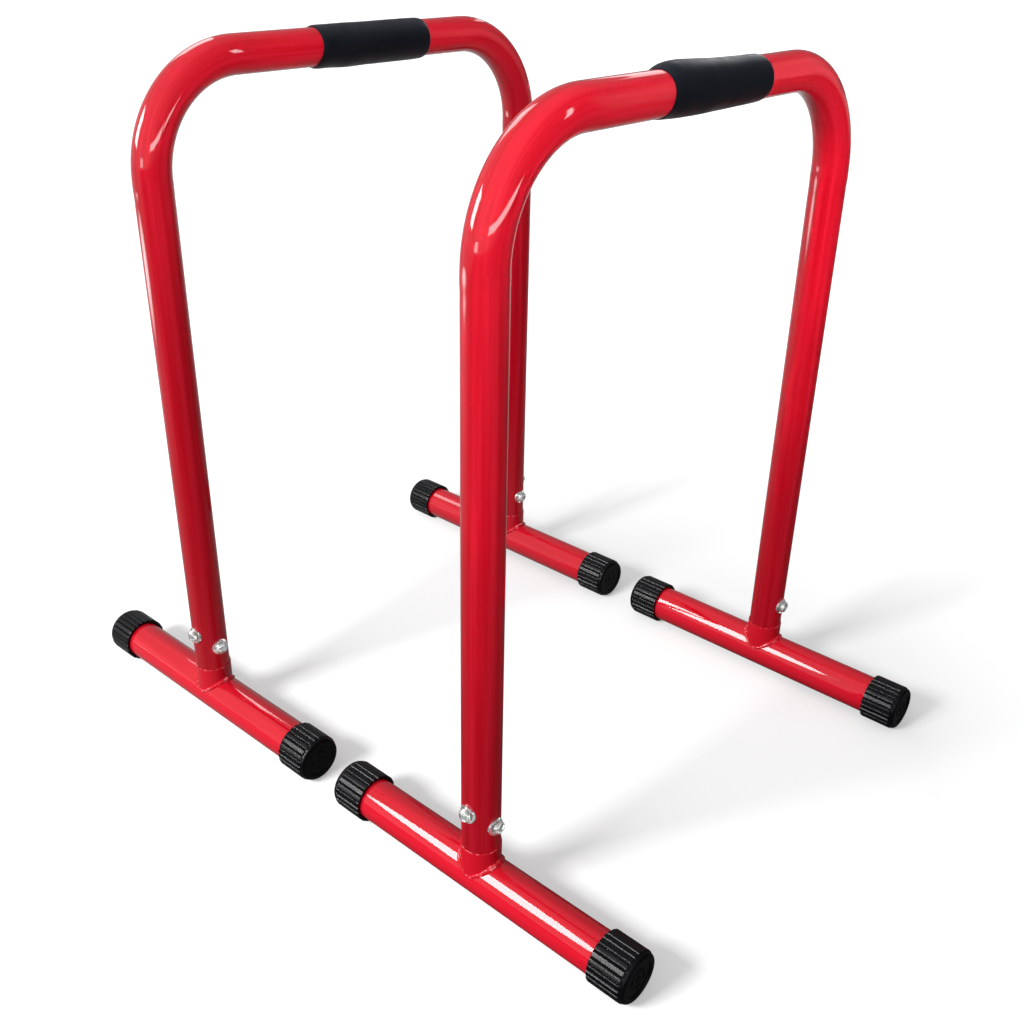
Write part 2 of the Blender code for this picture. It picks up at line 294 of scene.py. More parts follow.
def turn_profile(name, sides, profile, phase=0.0):
    """A turned piece along +Z: each step of its profile extrudes the last ring and resizes it.

    The profile is a list of (radius, height), or of (radius, height, shift) where a ring's
    middle lies off the axis towards +X. A radius of 0 closes that end at a point.
    """
    points = [Vector((*point, 0)[:3]) for point in profile]
    start_pole = points[0].x == 0
    if start_pole:
        points = points[1:]
    radius, height, shift = points[0]
    piece = add_ring(name, sides, radius, (shift, 0, height), (0, 0, phase),
                     "TRIFAN" if start_pole else "NOTHING")
    for next_radius, next_height, next_shift in points[1:]:
        draw_out((next_shift - shift, 0, next_height - height))
        if next_radius == 0:
            bpy.ops.mesh.merge(type="CENTER")
        elif abs(next_radius - radius) > 1e-7:
            resize(next_radius / radius, (next_shift, 0, next_height))
        radius, height, shift = next_radius, next_height, next_shift
    return piece


def tidy_shell():
    """Merge what meets and turn every face outwards."""
    bpy.ops.mesh.select_all(action="SELECT")
    bpy.ops.mesh.remove_doubles(threshold=MEETING)
    bpy.ops.mesh.normals_make_consistent(inside=False)


def seal():
    """Tidy the shell in edit mode and leave the mode."""
    tidy_shell()
    close()


def turn_tube(name, sides, inner, outer, low, high):
    """A sealed tube along +Z, or a rod where its inner radius is 0."""
    profile = [(inner, low), (outer, low), (outer, high), (inner, high)]
    piece = turn_profile(name, sides, profile + (profile[:1] if inner else []))
    seal()
    return piece


def add_torus(name, segments, sides, radius, thickness, height=0):
    """A level ring of round wire, open in edit mode."""
    let_go()
    bpy.ops.mesh.primitive_torus_add(major_segments=segments, minor_segments=sides,
                                     major_radius=radius, minor_radius=thickness,
                                     location=(0, 0, height))
    piece = bpy.context.object
    piece.name = piece.data.name = name
    bpy.ops.object.transform_apply(location=True, rotation=True, scale=True)
    edit(piece)
    return piece


def each_rung(segments):
    """Select each section of a torus in turn, and give its angle and its way outwards."""
    for step in range(segments):
        angle = math.tau * step / segments
        along = Vector((math.cos(angle), math.sin(angle), 0))
        across = Vector((-along.y, along.x, 0))
        pick_points(lambda at: abs(at.dot(across)) < NEAR and at.dot(along) > 0)
        yield angle, along


def apply_modifier(piece, kind, **settings):
    modifier = piece.modifiers.new(kind.title(), kind)
    for setting, value in settings.items():
        setattr(modifier, setting, value)
    take(piece)
    bpy.ops.object.modifier_apply(modifier=modifier.name)


def thicken(piece, wall):
    """Give a tube its wall, inwards from its outside."""
    apply_modifier(piece, "SOLIDIFY", thickness=wall, offset=-1, use_even_offset=True)


def cut(piece, cutter, operation="DIFFERENCE"):
    """Cut a piece by another, or keep what they share, and delete the cutter."""
    apply_modifier(piece, "BOOLEAN", object=cutter, operation=operation, solver="EXACT")
    take(cutter)
    bpy.ops.object.delete()


def round_edges(piece, width, segments=2, angle=35):
    apply_modifier(piece, "BEVEL", width=width, segments=segments, limit_method="ANGLE",
                   angle_limit=math.radians(angle), harden_normals=False)


def smooth(piece, angle=40):
    """Shade smooth, with the large faces keeping their own direction beside small round edges."""
    take(piece)
    bpy.ops.object.shade_smooth_by_angle(angle=math.radians(angle))
    apply_modifier(piece, "WEIGHTED_NORMAL", keep_sharp=True)


def put(piece, matrix):
    """Move a piece to its place in the mesh itself, so that its object stays at the origin."""
    take(piece)
    piece.matrix_world = matrix
    bpy.ops.object.transform_apply(location=True, rotation=True, scale=True)
    return piece


def copy_of(piece, name, matrix):
    """A copy of a finished piece with its own mesh, moved to its place."""
    take(piece)
    bpy.ops.object.duplicate(linked=False)
    copy = bpy.context.object
    copy.name = copy.data.name = name
    return put(copy, matrix)


def set_out(pattern, places):
    """Copy a pattern piece to each named place, and delete the pattern."""
    pieces = {name: copy_of(pattern, name, matrix) for name, matrix in places.items()}
    take(pattern)
    bpy.ops.object.delete()
    return pieces


def coat(piece, finish):
    """Give a piece one finish all over."""
    piece.data.materials.clear()
    piece.data.materials.append(material_of(finish))


def dress(piece, finish, *nodes):
    """Give a piece its finish, its bar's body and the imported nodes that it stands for."""
    coat(piece, finish)
    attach(piece, f"{piece.name.split('_')[0]}_bar")
    if nodes:
        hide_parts(*nodes)


def furnish(pattern, places, finish, *rename):
    """Copy a pattern to its places and dress each copy, which stands for its renamed node."""
    for name, piece in set_out(pattern, places).items():
        dress(piece, finish, *([name.replace(*rename)] if rename else []))


def foot_places(template):
    """The middle of each foot's axis, by the piece name that a template gives it."""
    return {template.format(bar=bar, post=post):
            Matrix.Translation((post_x[post], bar_y[bar], foot_z))
            for bar in BARS for post in POSTS}


def towards(azimuth, elevation):
    """The direction at an angle from +X and an angle above the floor, in degrees."""
    azimuth, elevation = math.radians(azimuth), math.radians(elevation)
    return Vector((math.cos(azimuth) * math.cos(elevation),
                   math.sin(azimuth) * math.cos(elevation), math.sin(elevation)))


def facing(direction):
    """The turn that brings +Z along a direction, with +Y up."""
    return direction.to_track_quat("Z", "Y").to_matrix().to_4x4()


def screw_places(template):
    """Each screw's place on its post's axis, with +Z along the screw and +Y up the post."""
    places = {}
    for bar in BARS:
        for post in POSTS:
            outward = Vector((math.copysign(1, post_x[post]), 0, 0))
            for side, direction, height in (("side", outward, side_screw_z),
                                            ("front", Vector((0, -1, 0)), front_screw_z)):
                at = Matrix.Translation((post_x[post], bar_y[bar], height))
                places[template.format(bar=bar, post=post, side=side)] = at @ facing(direction)
    return places


# Shared effects

def new_group(name, inputs):
    """A shader node group with its inputs by name and default, and what they give inside it."""
    group = bpy.data.node_groups.new(name, "ShaderNodeTree")
    for label, default in inputs.items():
        kind = "NodeSocketColor" if isinstance(default, tuple) else "NodeSocketFloat"
        group.interface.new_socket(label, in_out="INPUT", socket_type=kind).default_value = default
    return group, group.nodes.new("NodeGroupInput").outputs


def hand_out(group, **results):
    """Give a group its outputs, each by the name of its result."""
    for label, result in results.items():
        kind = "NodeSocketColor" if result.type == "RGBA" else "NodeSocketFloat"
        group.interface.new_socket(label, in_out="OUTPUT", socket_type=kind)
    add_node(group, "NodeGroupOutput", results)
    return group


def give(tree, socket, value):
    """Link a socket to another one, or set its value."""
    if isinstance(value, bpy.types.NodeSocket):
        tree.links.new(value, socket)
    else:
        socket.default_value = value


def add_node(tree, kind, sockets=(), **settings):
    """Add a node, make its settings and fill its sockets, given by name or number."""
    node = tree.nodes.new(kind)
    for key, value in settings.items():
        setattr(node, key, value)
    for socket, value in dict(sockets).items():
        give(tree, node.inputs[socket], value)
    return node


def spread(tree, value, low, high, to_low=0.0, to_high=1.0):
    """Stretch part of a value's range over another range."""
    return add_node(tree, "ShaderNodeMapRange", {
        "Value": value, "From Min": low, "From Max": high,
        "To Min": to_low, "To Max": to_high}).outputs["Result"]


def noise(tree, place, scale, detail=2.0, roughness=0.5):
    return add_node(tree, "ShaderNodeTexNoise", {
        "Vector": place, "Scale": scale, "Detail": detail,
        "Roughness": roughness}).outputs["Fac"]


def maths(tree, operation, *values, **settings):
    return add_node(tree, "ShaderNodeMath", enumerate(values), operation=operation,
                    **settings).outputs[0]


def measure(tree, operation, place, other):
    """How far a place lies from a point, or along a direction."""
    return add_node(tree, "ShaderNodeVectorMath", {0: place, 1: tuple(other)},
                    operation=operation).outputs["Value"]


def mix_values(tree, share, first, second):
    return add_node(tree, "ShaderNodeMix", {0: share, 2: first, 3: second}).outputs[0]


def mix_colours(tree, share, first, second):
    return add_node(tree, "ShaderNodeMix", {0: share, 6: first, 7: second},
                    data_type="RGBA").outputs[2]


def here(tree):
    """The place on the piece that a pattern is worked out for."""
    return add_node(tree, "ShaderNodeTexCoord").outputs["Object"]


def surface_group():
    """Fine relief and uneven gloss for a moulded, foamed or sprayed surface."""
    group, given = new_group("uneven_surface", {
        "Fine Scale": 800.0, "Broad Scale": 40.0, "Roughness Low": 0.2, "Roughness High": 0.3,
        "Broad Share": 0.3})
    place = here(group)
    fine = noise(group, place, given["Fine Scale"], 3.0, 0.6)
    broad = noise(group, place, given["Broad Scale"], 2.0, 0.5)
    patch = spread(group, broad, 0.35, 0.65)
    height = mix_values(group, given["Broad Share"], fine, broad)
    rough = spread(group, patch, 0.0, 1.0, given["Roughness Low"], given["Roughness High"])
    return hand_out(group, Height=height, Roughness=rough, Patch=patch)


def specks_group():
    """Small scattered specks, such as dust in paint or pores in foam."""
    group, given = new_group("scattered_specks", {"Scale": 300.0, "Size": 0.12, "Chance": 0.2})
    cells = add_node(group, "ShaderNodeTexVoronoi", {
        "Vector": here(group), "Scale": given["Scale"]}, feature="F1").outputs
    spot = maths(group, "LESS_THAN", cells["Distance"], given["Size"])
    picked = add_node(group, "ShaderNodeSeparateColor", {0: cells["Color"]}).outputs[0]
    chosen = maths(group, "LESS_THAN", picked, given["Chance"])
    return hand_out(group, Mask=maths(group, "MULTIPLY", spot, chosen))


def wear_group():
    """Lightens a colour where a stored mask says that an edge is rubbed."""
    group, given = new_group("rubbed_edge", {
        "Colour": (0, 0, 0, 1), "Rubbed": (1, 1, 1, 1), "Edge": 0.0, "Amount": 0.5})
    patches = spread(group, noise(group, here(group), 160.0, 4.0, 0.65), 0.35, 0.7)
    edge = maths(group, "MULTIPLY", patches, given["Edge"])
    mask = maths(group, "MULTIPLY", edge, given["Amount"], use_clamp=True)
    colour = mix_colours(group, mask, given["Colour"], given["Rubbed"])
    return hand_out(group, Colour=colour, Mask=mask)


def use_group(tree, name, build, sockets):
    """The outputs of a shared group with its own values. It is built when it is first used."""
    group = bpy.data.node_groups.get(name) or build()
    return add_node(tree, "ShaderNodeGroup", sockets, node_tree=group).outputs


def uneven(tree, fine_scale, broad_scale, smoothest, roughest, broad_share):
    """The height, roughness and patches of an uneven surface."""
    return use_group(tree, "uneven_surface", surface_group, {
        "Fine Scale": fine_scale, "Broad Scale": broad_scale, "Roughness Low": smoothest,
        "Roughness High": roughest, "Broad Share": broad_share})


def specks(tree, scale, size, chance):
    """Where scattered specks lie."""
    return use_group(tree, "scattered_specks", specks_group, {
        "Scale": scale, "Size": size, "Chance": chance})["Mask"]


def feed(tree, shader, colour, rough, height, depth):
    """Link what changes over a surface to its shader, with the depth of its relief."""
    bump = add_node(tree, "ShaderNodeBump", {"Height": height, "Distance": depth})
    for socket, value in (("Base Color", colour), ("Roughness", rough),
                          ("Normal", bump.outputs["Normal"])):
        tree.links.new(value, shader.inputs[socket])


def rgba(colour, factor=1.0):
    return (*[channel * factor for channel in colour], 1.0)


def mark_painted_streaks(piece, place_round):
    """Store where each point lies round its tube and along it, for the painted streaks of shade
    and reflection.
    """
    mask = piece.data.attributes.new("drawn_lines", "FLOAT_VECTOR", "POINT")
    for point, value in zip(piece.data.vertices, mask.data):
        value.vector = place_round(point.co)


# Finishes

# How the paint changes over the painted streaks along a tube: darker for painted shade, lighter
# and pinker for painted reflection
PAINTED_STREAK_TINTS = ((0.9, 0.3, 0.65), (1.06, 1.9, 1.4))
# Pale pink painted on the seams and welds as glints of light
PAINTED_GLINT = (0.85, 0.17, 0.2, 1)
RUST = (0.12, 0.05, 0.025, 1)


def gloss_paint(tree, shader, paint):
    """Sprayed red gloss with streaks of painted shade and painted reflection along the tube, and a
    few specks of dust.
    """
    surface = uneven(tree, 420.0, 9.0, 0.03, 0.06, 0.15)
    dust = specks(tree, 260.0, 0.16, 0.012)
    drawn = add_node(tree, "ShaderNodeAttribute", attribute_name="drawn_lines")
    # Streaks of painted shade and painted reflection along the tube
    line = spread(tree, noise(tree, drawn.outputs["Vector"], 2.8, 3.0, 0.6), 0.38, 0.62)
    dark, light = (rgba(paint[i] * tint[i] for i in range(3)) for tint in PAINTED_STREAK_TINTS)
    tone = mix_colours(tree, line, dark, light)
    feed(tree, shader, mix_colours(tree, dust, tone, rgba(paint, 0.7)), surface["Roughness"],
         maths(tree, "ADD", surface["Height"], dust), 0.000003)


def seam_paint(tree, shader, paint):
    """The same paint over a weld or a seam, with pale flecks painted on as glints of light."""
    # Pale flecks painted as glints of light
    glints = spread(tree, noise(tree, here(tree), 230.0, 1.0, 0.5), 0.54, 0.66)
    tree.links.new(mix_colours(tree, glints, rgba(paint), PAINTED_GLINT), shader.inputs["Base Color"])


def foam_rubber(tree, shader, foam):
    """Closed-cell foam: matt, finely pored, with soft dents where hands have pressed it, and its
    pores painted darker as the shade inside them.
    """
    surface = uneven(tree, 1900.0, 55.0, 0.4, 0.52, 0.25)
    shaded_pores = specks(tree, 1100.0, 0.34, 0.5)
    tone = mix_colours(tree, surface["Patch"], rgba(foam, 0.85), rgba(foam, 1.15))
    # Pores painted darker as the shade inside them
    feed(tree, shader, mix_colours(tree, shaded_pores, tone, rgba(foam, 0.45)), surface["Roughness"],
         maths(tree, "SUBTRACT", surface["Height"], shaded_pores), 0.00008)


def cap_plastic(tree, shader, plastic):
    """Moulded plastic: fine spark grain, with crests of the ribs rubbed lighter."""
    surface = uneven(tree, 1500.0, 70.0, 0.27, 0.31, 0.1)
    crest = add_node(tree, "ShaderNodeAttribute", attribute_name="rib_crest")
    worn = use_group(tree, "rubbed_edge", wear_group, {
        "Colour": rgba(plastic), "Rubbed": rgba(plastic, 2.6), "Edge": crest.outputs["Fac"],
        "Amount": 0.3})
    rough = maths(tree, "MULTIPLY_ADD", worn["Mask"], -0.03, surface["Roughness"])
    feed(tree, shader, worn["Colour"], rough, surface["Height"], 0.0000015)


def zinc_plate(tree, shader, zinc):
    """Bright zinc: faint cloudy tarnish and fine tumbling marks."""
    surface = uneven(tree, 1400.0, 150.0, 0.2, 0.32, 0.3)
    tone = mix_colours(tree, surface["Patch"], rgba(zinc, 0.86), rgba(zinc))
    feed(tree, shader, tone, surface["Roughness"], surface["Height"], 0.00002)


def drawn_steel(tree, shader, steel):
    """Unpainted steel inside the posts: dull, with patches of oil and light rust."""
    surface = uneven(tree, 700.0, 60.0, 0.36, 0.6, 0.3)
    tone = mix_colours(tree, surface["Patch"], rgba(steel, 0.75), rgba(steel))
    feed(tree, shader, mix_colours(tree, specks(tree, 420.0, 0.3, 0.06), tone, RUST),
         surface["Roughness"], surface["Height"], 0.00004)


# Each finish's material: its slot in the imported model, how it is built, the colour that it takes
# from the sidebar, and the values that are the same all over
FINISHES = {
    "red_gloss_paint": ("red_paint", gloss_paint, "paint", {"IOR": 1.5}),
    "red_seam_paint": ("red_paint", seam_paint, "paint", {"Roughness": 0.12}),
    "black_foam_rubber": ("black_foam", foam_rubber, "foam", {
        "Specular IOR Level": 0.4, "Specular Tint": (0.75, 0.87, 1.0, 1.0)}),
    "black_cap_plastic": ("black_cap", cap_plastic, "plastic", {"Specular IOR Level": 0.2}),
    "bright_zinc_plate": ("zinc_plate", zinc_plate, "zinc", {"Metallic": 0.9}),
    "drawn_steel": ("bare_steel", drawn_steel, "steel", {"Metallic": 0.85}),
}


def make_material(name, uniform):
    """A material with a Principled shader, its uniform sockets set by name."""
    material = bpy.data.materials.new(name)
    material.use_nodes = True
    shader = material.node_tree.nodes["Principled BSDF"]
    for label, value in uniform.items():
        shader.inputs[label].default_value = value
    return material, material.node_tree, shader


def material_of(finish):
    """A finish's material, made the first time that it is asked for."""
    if finish not in bpy.data.materials:
        _, build, colour, uniform = FINISHES[finish]
        _, tree, shader = make_material(finish, uniform)
        build(tree, shader, getattr(bpy.context.scene.parallette_finish, colour))
    return bpy.data.materials[finish]


# Shapes of the pieces that no size above gives

# The rounding of a sawn tube's edges
TUBE_EDGE = 0.0004

# The radius of an M8 screw and of the hole that it passes through
SHANK = 0.004
HOLE = 0.0045

# How the bender's clamp has changed the tube's radius, in steps up to the bend
CLAMP_STEP = 0.005
CLAMP_MARKS = (1.001, 0.998, 0.996, 1.003, 1.010, 1.004)

# The play between the foam and the rail, and the sizes that its outlines are drawn for
FOAM_GAP = 0.00015
FOAM_THICKNESS = 0.0025
FOAM_SWELL = 0.0033

# The foam's outline against the rail's radius, in millimetres: place along the grip from its
# loose end, and how far the top and the underside stand off the rail
FOAM_OUTLINES = {
    "right": (
        (0.0, 0.4, 0.4), (0.9, 1.0, 0.7), (2.5, 1.7, 0.8), (5.0, 2.7, 0.9), (9.0, 4.0, 1.1),
        (14.0, 5.0, 1.5), (19.0, 5.4, 1.8), (24.0, 5.6, 2.0), (29.0, 5.6, 2.1), (34.0, 5.4, 2.3),
        (44.0, 4.9, 2.5), (54.0, 4.4, 2.6), (64.0, 3.8, 2.5), (74.0, 3.2, 2.4), (89.0, 2.5, 2.2),
        (104.0, 2.1, 2.1), (119.0, 1.8, 1.9), (134.0, 1.7, 1.8), (143.0, 1.6, 1.6),
        (147.5, 1.5, 1.4), (149.3, 1.2, 1.1), (150.0, 0.7, 0.6)),
    "left": (
        (0.0, 0.6, 0.6), (0.9, 1.3, 1.3), (2.5, 1.8, 1.8), (5.0, 2.0, 2.1), (9.0, 2.0, 2.2),
        (14.0, 1.9, 2.3), (19.0, 1.9, 2.4), (24.0, 1.9, 2.6), (29.0, 2.0, 2.9), (34.0, 2.0, 3.2),
        (44.0, 2.0, 3.5), (54.0, 1.8, 3.3), (64.0, 1.7, 3.0), (74.0, 1.7, 2.9), (89.0, 1.8, 2.9),
        (104.0, 1.8, 2.9), (119.0, 1.9, 2.8), (134.0, 1.9, 2.8), (143.0, 1.8, 2.7),
        (147.5, 1.6, 2.4), (149.3, 1.2, 1.9), (150.0, 0.7, 1.1))}

# The lines of points along each rib, from one groove to the next, and how much of the rib's
# height a line keeps where that isn't all of it
LINES_PER_RIB = 12
RIB_SHAPE = {0: 0.0, 1: 0.45, 11: 0.45, 2: 0.97, 10: 0.97}

# The cap's closed end, from its rim to its middle: radius, and depth below the end
CAP_FLOOR = 0.005
CAP_FACE = ((0.0188, 0), (0.0182, 0.0004), (0.0178, 0.0013), (0.0100, 0.0013),
            (0.0096, 0.0006), (0.0086, 0.0006), (0.0082, 0.0013), (0.0034, 0.0013),
            (0.0030, 0.0003), (0.0022, 0), (0, 0))


# One operator for each piece or group of like pieces

class PARALLETTES_OT_handles(Operator):
    """Bend each bar's handle from one tube, drill it for its screws and paint it"""
    bl_idname = "parallettes.handles"
    bl_label = "Handle Tubes"

    def execute(self, context):
        tubes = context.scene.parallette_tubes
        radius = tubes.handle_diameter / 2
        near, far = post_x["near"], post_x["far"]
        y = bar_y["right"]
        bend = tubes.bend_radius
        bend_z = tubes.rail_height - bend
        steps = len(CLAMP_MARKS)
        clamp = steps * CLAMP_STEP
        rail = far - near - 2 * bend
        tube = add_ring("right_handle", 128, radius, (near, y, post_foot_z))
        draw_out((0, 0, bend_z - post_foot_z - clamp))
        draw_out((0, 0, CLAMP_STEP), steps)
        swing((near + bend, y, bend_z), (0, 1, 0), math.pi / 2, 36)
        draw_out((rail / 12, 0, 0), 12)
        swing((far - bend, y, bend_z), (0, 1, 0), math.pi / 2, 36)
        draw_out((0, 0, -CLAMP_STEP), steps)
        draw_out((0, 0, post_foot_z - bend_z + clamp))
        tidy_shell()
        self.mark(near, y, bend_z)
        self.mark(far, y, bend_z)
        close()
        thicken(tube, tubes.wall)
        for name, place in screw_places("{bar}_{post}_{side}").items():
            if name.startswith("right"):
                drill = turn_tube("drill", 32, 0, HOLE, radius / 2, radius * 1.2)
                cut(tube, put(drill, place))
        round_edges(tube, TUBE_EDGE)
        smooth(tube)
        # Store where the handle's painted streaks of shade and reflection run
        mark_painted_streaks(tube, lambda at: self.place_round(at, tubes))
        other = copy_of(tube, "left_handle", Matrix.Translation((0, bar_y["left"] - y, 0)))
        for piece in (tube, other):
            dress(piece, "red_gloss_paint", f"{piece.name}_tube")
        return {"FINISHED"}

    def place_round(self, at, tubes):
        """Where a point lies outwards and sideways of the bent middle line, and how far along."""
        bend, half = tubes.bend_radius, tubes.handle_diameter / 2
        middle_x = (post_x["near"] + post_x["far"]) / 2
        across = abs(at.x - middle_x) - (post_x["far"] - middle_x) + bend
        above = at.z - tubes.rail_height + bend
        if above <= 0:
            outward, along = across - bend, 0.6 - above
        elif across <= 0:
            outward, along = above - bend, 0.3 + across
        else:
            outward = math.hypot(across, above) - bend
            along = 0.45 + 0.1 * (across - above) / bend
        return outward / half, (at.y - bar_y["right"]) / half, math.copysign(along, at.x)

    def mark(self, x, y, bend_z):
        """Press the faint swell and hollow that the bender's clamp leaves below a bend."""
        for rung, ratio in enumerate(CLAMP_MARKS):
            height = bend_z - (len(CLAMP_MARKS) - 1 - rung) * CLAMP_STEP
            pick_points(lambda at: abs(at.z - height) < NEAR and abs(at.x - x) < 0.03)
            resize(ratio, (x, y, height))


class PARALLETTES_OT_grips(Operator):
    """Pull a foam sleeve over each rail, loose and lifted at its near end"""
    bl_idname = "parallettes.grips"
    bl_label = "Foam Grips"

    def execute(self, context):
        tubes = context.scene.parallette_tubes
        grip = context.scene.parallette_grip
        dents = bpy.data.textures.new("foam_dents", "CLOUDS")
        dents.noise_scale = 0.016
        # A profile's shift points to the side of the rail that is up and away from -Y
        lifted = Vector((0, 0.63, 0.777)).normalized()
        along = Vector((1, 0, 0))
        turn = Matrix((lifted, along.cross(lifted), along)).transposed().to_4x4()
        for bar in BARS:
            sleeve = turn_profile(f"{bar}_grip_foam", 72, self.outline(bar, tubes, grip))
            seal()
            start = Vector((grip_low.x, bar_y[bar], tubes.rail_height))
            put(sleeve, Matrix.Translation(start) @ turn)
            self.drag(sleeve, start, tubes.handle_diameter * 0.4, grip.skew)
            apply_modifier(sleeve, "SUBSURF", levels=1, render_levels=1)
            apply_modifier(sleeve, "DISPLACE", texture=dents, strength=0.0004, mid_level=0.5,
                           texture_coords="LOCAL")
            smooth(sleeve, 60)
            dress(sleeve, "black_foam_rubber", f"{bar}_grip_sleeve")
        return {"FINISHED"}

    def drag(self, sleeve, start, depth, skew):
        """Pull the underside of the loose end along the rail, past the top."""
        edit(sleeve)
        pick_points(lambda at: at.x < start.x + 0.001 and at.z < start.z - depth)
        bpy.ops.transform.translate(value=(-skew, 0, 0), use_proportional_edit=True,
                                    proportional_size=0.028,
                                    proportional_edit_falloff="SMOOTH")
        close()

    def outline(self, bar, tubes, grip):
        """The outer wall from the loose end, and back along the bore."""
        rail = tubes.handle_diameter / 2
        stretch = (grip_high.x - grip_low.x) / FOAM_OUTLINES[bar][-1][0]
        scale = grip.thickness / FOAM_THICKNESS / 1000
        outer, inner = [], []
        for place, top, under in FOAM_OUTLINES[bar]:
            at, top, under = place * stretch, top * scale, under * scale
            outer.append((rail + (top + under) / 2, at, (top - under) / 2))
            gap = max(top - under, 0) * grip.swell / FOAM_SWELL * 0.85
            inner.append((rail + FOAM_GAP + gap / 2, at, gap / 2))
        return outer + inner[::-1] + outer[:1]


class PARALLETTES_OT_feet(Operator):
    """Cut and paint the four foot tubes"""
    bl_idname = "parallettes.feet"
    bl_label = "Foot Tubes"

    def execute(self, context):
        tubes = context.scene.parallette_tubes
        radius = tubes.foot_diameter / 2
        half = (foot_high.y - foot_low.y) / 2
        pattern = add_ring("foot_pattern", 112, radius, (0, -half, 0), (math.pi / 2, 0, 0))
        draw_out((0, half / 2, 0), 4)
        seal()
        thicken(pattern, tubes.wall)
        round_edges(pattern, TUBE_EDGE)
        smooth(pattern)
        # Store where the foot's painted streaks of shade and reflection run
        mark_painted_streaks(pattern, lambda at: (at.x / radius, at.z / radius, 3 + at.y))
        furnish(pattern, foot_places("{bar}_{post}_foot"), "red_gloss_paint",
                "_foot", "_foot_tube")
        return {"FINISHED"}


class PARALLETTES_OT_risers(Operator):
    """Cope the four risers to their feet, run the weld beads and the ridge of the seam"""
    bl_idname = "parallettes.risers"
    bl_label = "Risers and Welds"

    def execute(self, context):
        tubes = context.scene.parallette_tubes
        self.riser = tubes.riser_diameter / 2
        self.foot = tubes.foot_diameter / 2
        self.top = seam_z - foot_z
        furnish(self.stub(), foot_places("{bar}_{post}_riser_stub"), "red_gloss_paint",
                "_stub", "")
        for template, pattern in (("{bar}_{post}_weld_bead", self.weld(tubes.weld_size)),
                                  ("{bar}_{post}_seam_ridge", self.ridge())):
            furnish(pattern, foot_places(template), "red_seam_paint")
        return {"FINISHED"}

    def stub(self):
        """The short tube, with its foot coped to the saddle line."""
        pattern = add_ring("riser_pattern", 112, self.riser, (0, 0, self.top))
        draw_out((0, 0, self.foot * 0.2 - self.top))
        seal()
        thicken(pattern, 0.003)
        saddle = turn_tube("saddle", 96, 0, self.foot + 0.0003, -self.foot * 2, self.foot * 2)
        cut(pattern, put(saddle, Matrix.Rotation(math.pi / 2, 4, "X")))
        round_edges(pattern, 0.0005)
        smooth(pattern)
        return pattern

    def weld(self, thickness):
        """A bead that follows the saddle line, laid flat with a few raised ripples."""
        segments, radius = 176, self.riser + 0.0003
        bead = add_torus("weld_pattern", segments, 14, radius, thickness)
        for angle, along in each_rung(segments):
            rise = math.sqrt(max((self.foot + 0.0002) ** 2 - (radius * along.x) ** 2, 0))
            lumps = max(math.sin(angle * 13 + 1) + math.sin(angle * 21), 0) ** 2
            ripple = 0.93 + 0.02 * math.cos(angle * 44) + 0.035 * lumps
            size = ripple * (0.35 + 0.65 * abs(along.y))
            resize(size, along * radius, size)
            bpy.ops.transform.translate(value=(0, 0, rise))
        seal()
        smooth(bead, 80)
        return bead

    def ridge(self):
        """The paint that fills the seam between post and riser, with a few dried runs."""
        segments, thickness = 128, 0.0007
        radius, height = self.riser - thickness, self.top - 0.0004
        line = add_torus("ridge_pattern", segments, 10, radius, thickness, height)
        for angle, along in each_rung(segments):
            wave = math.sin(angle * 19) + math.sin(angle * 31 + 2) + math.sin(angle * 47 + 4)
            size = 0.9 + 0.38 * max(wave - 0.6, 0)
            resize(size, along * radius + Vector((0, 0, height)), size)
        close()
        smooth(line, 80)
        return line


